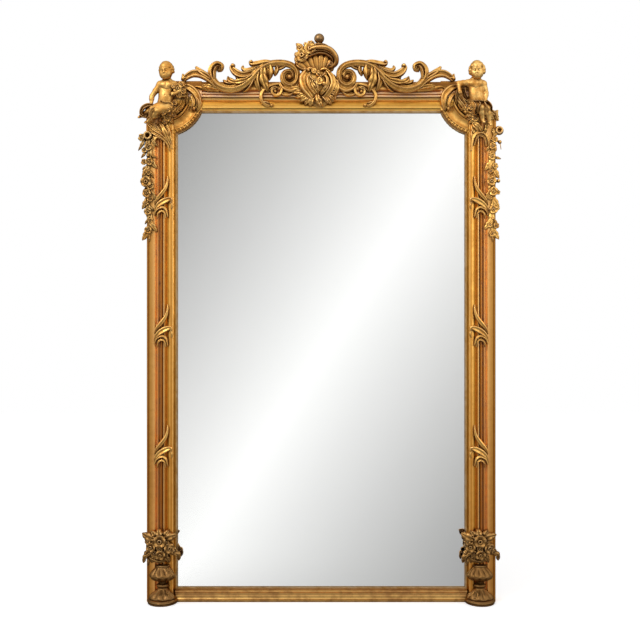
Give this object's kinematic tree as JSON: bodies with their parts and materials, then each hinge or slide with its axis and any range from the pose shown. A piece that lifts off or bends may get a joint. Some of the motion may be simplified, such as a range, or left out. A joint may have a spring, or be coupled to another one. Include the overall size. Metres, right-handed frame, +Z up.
{
  "type": "floor mirror",
  "caption": "Tall rectangular floor mirror with a reeded gilded wood frame, round upper corners, carved scroll crest with a shell cartouche, seated cherubs, flower drops and urn feet.",
  "frame": {"origin": "centre of the bounding box's footprint, on the floor", "axes": "+X to the viewer's right, -Y out of the mirror towards the viewer, +Z up"},
  "size_m": [1.4677, 0.16, 2.268],
  "materials": {
    "gilt_wood": "gold leaf over red bole, worn on the edges and reeds",
    "dark_gilt": "toned bronze gilding, darker in the hollows",
    "mirror_glass": "silvered plate glass",
    "silvering": "silver with grey backing paint",
    "pine": "aged bare softwood",
    "iron": "dark wrought iron"
  },
  "bodies": {
    "root": {"stile_left": "gilt_wood", "stile_right": "gilt_wood", "rail_top": "gilt_wood", "rail_bottom": "gilt_wood", "corner_block_left": "gilt_wood", "corner_block_right": "gilt_wood", "sight_slip_left": "gilt_wood", "sight_slip_right": "gilt_wood", "sight_slip_top": "gilt_wood", "sight_slip_bottom": "gilt_wood", "sight_slip_corner_left": "gilt_wood", "sight_slip_corner_right": "gilt_wood", "reed_strip_left": "gilt_wood", "reed_strip_right": "gilt_wood", "reed_strip_top": "gilt_wood", "corner_moulding_left": "gilt_wood", "corner_moulding_right": "gilt_wood", "ribbon_ties_left": "gilt_wood", "ribbon_ties_right": "gilt_wood", "leaf_cap_left": "gilt_wood", "leaf_cap_right": "gilt_wood", "corner_scroll_left": "gilt_wood", "corner_scroll_right": "gilt_wood", "corner_flowers_left": "gilt_wood", "corner_flowers_right": "gilt_wood", "cherub_left": "gilt_wood", "cherub_right": "gilt_wood", "flower_drop_left": "gilt_wood", "flower_drop_right": "gilt_wood", "bouquet_left": "dark_gilt", "bouquet_right": "dark_gilt", "urn_left": "dark_gilt", "urn_right": "dark_gilt", "urn_plinth_left": "dark_gilt", "urn_plinth_right": "dark_gilt", "crest_scroll_left": "gilt_wood", "crest_scroll_right": "gilt_wood", "cartouche_shell": "gilt_wood", "cartouche_strapwork": "gilt_wood", "shell_hood": "gilt_wood", "hood_roses": "gilt_wood", "finial_ball": "gilt_wood", "mirror_glass": "mirror_glass", "silvering": "silvering", "glass_blocks": "pine", "backboards": "pine", "battens": "pine", "backboard_screws": "iron", "batten_screws": "iron", "frame_dowels": "pine", "wall_plates": "iron", "wall_plate_screws": "iron", "crest_braces": "iron", "crest_brace_screws": "iron"}
  },
  "joints": []
}
